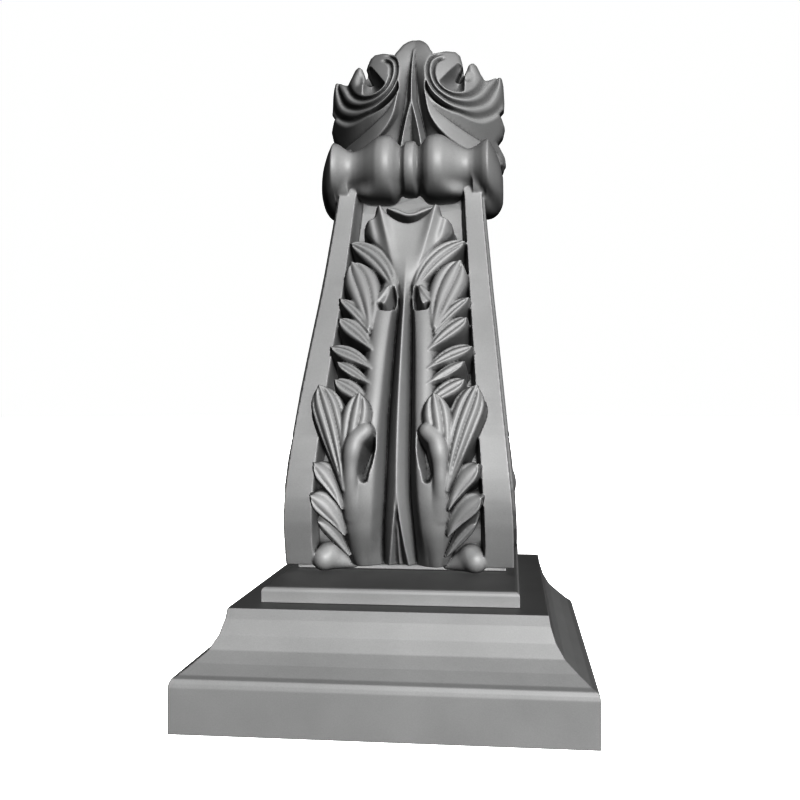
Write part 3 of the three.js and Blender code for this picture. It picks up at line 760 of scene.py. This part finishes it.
PAST_END = -30.0
crest_axis = crest_z[0]
for i, x in enumerate(block_x.astype(float)):
    column = int(round(x / FACE_STEP))
    face_out = np.interp(run_map, run_axis, relief[column])
    shaft = np.minimum.reduce([
        face_out - out_map, side_face - x, SHAFT_TOP - side_z, BACK - side_y, side_z - SHAFT_FOOT,
    ])
    neck = np.minimum(np.minimum(NECK_HALF_WIDTH - x, side_y - NECK_FRONT), SHAFT_FOOT + 6 - side_z)
    shaft = np.maximum(shaft, neck)
    knob = blend(
        round_cone(x, side_y, side_z, (40, -24, 104), (60, -29, 110), 4.0, 11.5),
        round_cone(x, side_y, side_z, (60, -29, 112), (63.5, -33, 109), 10.5, 10.2), 2.0,
    )
    shaft = blend(shaft, knob, 1.2)
    radius = float(smooth_row(x, ROLL_S, ROLL_R)) if x < ROLL_S[-1] else PAST_END
    under = max(radius, float(smooth_row(x, UNDER_S, UNDER_R))) if x < 58 else radius
    droop = max(x - 72.0, 0.0) * 16.0 / 14.0
    roll_away = np.hypot(side_y - ROLL_Y - droop, side_z - ROLL_Z + droop)
    roll = radius + (under - radius) * roll_under - roll_away
    swell = min(max((x - 62.0) / 24.5, 0.0), 1.0)
    coil_away = np.hypot(side_y - COIL_Y - 6 * swell, side_z - COIL_Z + 11 * swell)
    bulge = COIL_RADIUS * math.sqrt(1 - swell * swell) if swell < 1 else PAST_END
    coil = np.minimum(bulge - coil_away, x - 58.0)
    top = np.maximum(blend(roll, coil, 7.0 if x > 70 else 3.0), WASTE)
    front = np.interp(side_z, crest_axis, crest_front[column])
    edge = np.interp(side_z, crest_axis, crest_edge[column])
    behind = side_y - front
    leaf = np.minimum.reduce([
        behind / steepness, edge - 3.0 * fade((behind - 12) / 14), BACK - side_y, side_z - CREST_FOOT,
    ])
    stone = blend(blend(shaft, top, 1.0), leaf, 1.2)
    stone = np.minimum(stone, side_z - FOOT - np.where(side_y < NECK_FRONT - 1, 1.0, 0.0))
    block[i] = np.minimum(stone, BACK - side_y)


def mesh_of(field, low, step):
    """A smooth net of four-sided faces along the zero surface of a field."""
    cells = np.array(field.shape) - 1
    solid = field > 0
    keys, points, faces = [], [], []
    for axis in range(3):
        near = [slice(None)] * 3
        far = [slice(None)] * 3
        near[axis] = slice(0, -1)
        far[axis] = slice(1, None)
        crossing = np.argwhere(solid[tuple(near)] != solid[tuple(far)])
        a = field[tuple(near)][tuple(crossing.T)].astype(float)
        b = field[tuple(far)][tuple(crossing.T)].astype(float)
        at = crossing.astype(float)
        at[:, axis] += a / (a - b)
        u, v = (axis + 1) % 3, (axis + 2) % 3
        corners = []
        for du, dv in ((0, 0), (1, 0), (1, 1), (0, 1)):
            cell = crossing.copy()
            cell[:, u] -= du
            cell[:, v] -= dv
            corners.append(np.ravel_multi_index(cell.T, cells))
            points.append(at)
        quad = np.stack(corners, axis=1)
        keys.append(quad.T.ravel())
        faces.append(np.where((a > 0)[:, None], quad, quad[:, ::-1]))
    flat = np.concatenate(keys)
    used, place, share = np.unique(flat, return_inverse=True, return_counts=True)
    every = np.concatenate(points)
    vertices = np.stack([np.bincount(place, every[:, k], len(used)) / share for k in range(3)], axis=1)
    quads = np.searchsorted(used, np.concatenate(faces))
    return np.asarray(low) + vertices * step, quads


whole = np.concatenate([block[::-1], block], axis=0)
low_corner = (-float(block_x[-1]), float(block_y[0]), float(block_z[0]))
vertices, quads = mesh_of(whole, low_corner, GRID)
carved = bpy.data.meshes.new("carved_corbel")
carved.vertices.add(len(vertices))
carved.vertices.foreach_set("co", (vertices * MM).astype(np.float32).ravel())
carved.loops.add(quads.size)
carved.loops.foreach_set("vertex_index", quads.astype(np.int32).ravel())
carved.polygons.add(len(quads))
carved.polygons.foreach_set("loop_start", np.arange(0, quads.size, 4, dtype=np.int32))
carved.update(calc_edges=True)
carved.validate()
corbel = bpy.data.objects.new("carved_corbel", carved)
bpy.context.scene.collection.objects.link(corbel)

# The net is thinned on its flat faces, which keeps the carving's detail where it is.
MOST_TRIANGLES = 196000
thin = corbel.modifiers.new("thin", "DECIMATE")
thin.ratio = min(1.0, MOST_TRIANGLES / (2.0 * len(quads)))
graph = bpy.context.evaluated_depsgraph_get()
finished = bpy.data.meshes.new_from_object(corbel.evaluated_get(graph))
finished.validate()
corbel.modifiers.clear()
corbel.data = finished
bpy.data.meshes.remove(carved)
finished.name = "carved_corbel"
finished.shade_smooth()
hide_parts("corbel")
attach(corbel, "root")


def sampled(field, at):
    """Values of a field between its grid points."""
    base = np.clip(np.floor(at).astype(int), 0, np.array(field.shape) - 2)
    part = at - base
    total = np.zeros(len(at))
    for corner in range(8):
        pick = np.array([(corner >> k) & 1 for k in range(3)])
        weight = np.prod(np.where(pick == 1, part, 1 - part), axis=1)
        total += weight * field[tuple((base + pick).T)]
    return total


def read_all(items, name, width, kind=np.float32):
    flat = np.empty(width * len(items), kind)
    items.foreach_get(name, flat)
    return flat.reshape(-1, width).astype(float) if width > 1 else flat


# Shading follows the cut surface itself. On the wide flat faces each corner is read a little
# way in from its edge, so that a rounded arris does not tint the flat beside it.
corners = read_all(finished.loops, "vertex_index", 1, np.int32)
sides = read_all(finished.polygons, "loop_total", 1, np.int32)
spots = read_all(finished.vertices, "co", 3) / MM
inward = np.repeat(read_all(finished.polygons, "center", 3) / MM, sides, axis=0) - spots[corners]
reach_in = np.linalg.norm(inward, axis=1, keepdims=True)
inward *= np.minimum(0.5, 1.8 / np.maximum(reach_in, 0.01)) * fade((reach_in - 1.1) / 1.2)
places = (spots[corners] + inward - np.array(low_corner)) / GRID
SLOPE_STEP = 0.7
slopes = np.stack(
    [sampled(whole, places - step) - sampled(whole, places + step) for step in SLOPE_STEP * np.eye(3)],
    axis=1,
)
normals = slopes / np.maximum(np.linalg.norm(slopes, axis=1, keepdims=True), 1e-9)
finished.normals_split_custom_set(normals.tolist())


# How much stone lies round each point: more than half in a hollow, less than half on an arris.
def stone_share(half):
    share = np.clip(0.5 + np.concatenate([block[half - 1 :: -1], block]) / GRID, 0, 1)
    for axis in range(3):
        running = np.cumsum(share, axis=axis, dtype=np.float32)
        place = np.arange(share.shape[axis])
        ahead = np.take(running, np.minimum(place + half, place[-1]), axis=axis)
        keep = [slice(None)] * 3
        keep[axis] = slice(half + 1, None)
        from_start = [slice(None)] * 3
        from_start[axis] = slice(0, -half - 1)
        ahead[tuple(keep)] -= running[tuple(from_start)]
        share = ahead / (2 * half + 1)
    return share[half:]


CLOSE_BY = 2.4
FURTHER = 7.0
half_places = spots[corners] + inward
half_places[:, 0] = np.abs(half_places[:, 0])
half_places = (half_places - np.array([block_x[0], block_y[0], block_z[0]])) / GRID
close_share = sampled(stone_share(round(CLOSE_BY / GRID)), half_places)
wide_share = sampled(stone_share(round(FURTHER / GRID)), half_places)
# Painted shade: corners in hollows and creases get a darkening amount, standing in for the shade that
# falls there.
painted_hollow_shade = 0.65 * np.clip((close_share - 0.54) / 0.24, 0, 1)
painted_hollow_shade += 0.3 * np.clip((wide_share - 0.56) / 0.26, 0, 1)
# Painted highlight: corners on arrises get a lightening amount, standing in for light caught on the
# edges.
painted_arris_highlight_value = np.clip((0.42 - close_share) / 0.24, 0, 1)
for name, values in (("hollow", painted_hollow_shade), ("painted_arris_highlight", painted_arris_highlight_value)):
    layer = finished.attributes.new(name, "FLOAT", "CORNER")
    layer.data.foreach_set("value", values.astype(np.float32))

# The carving is the same limestone, rubbed down with fine grit after cutting: soft sheen, no polish.
corbel.data.materials.clear()
corbel.data.materials.append(grey_stone("rubbed_grey_limestone", "A8A8A8", "A4A4A4"))
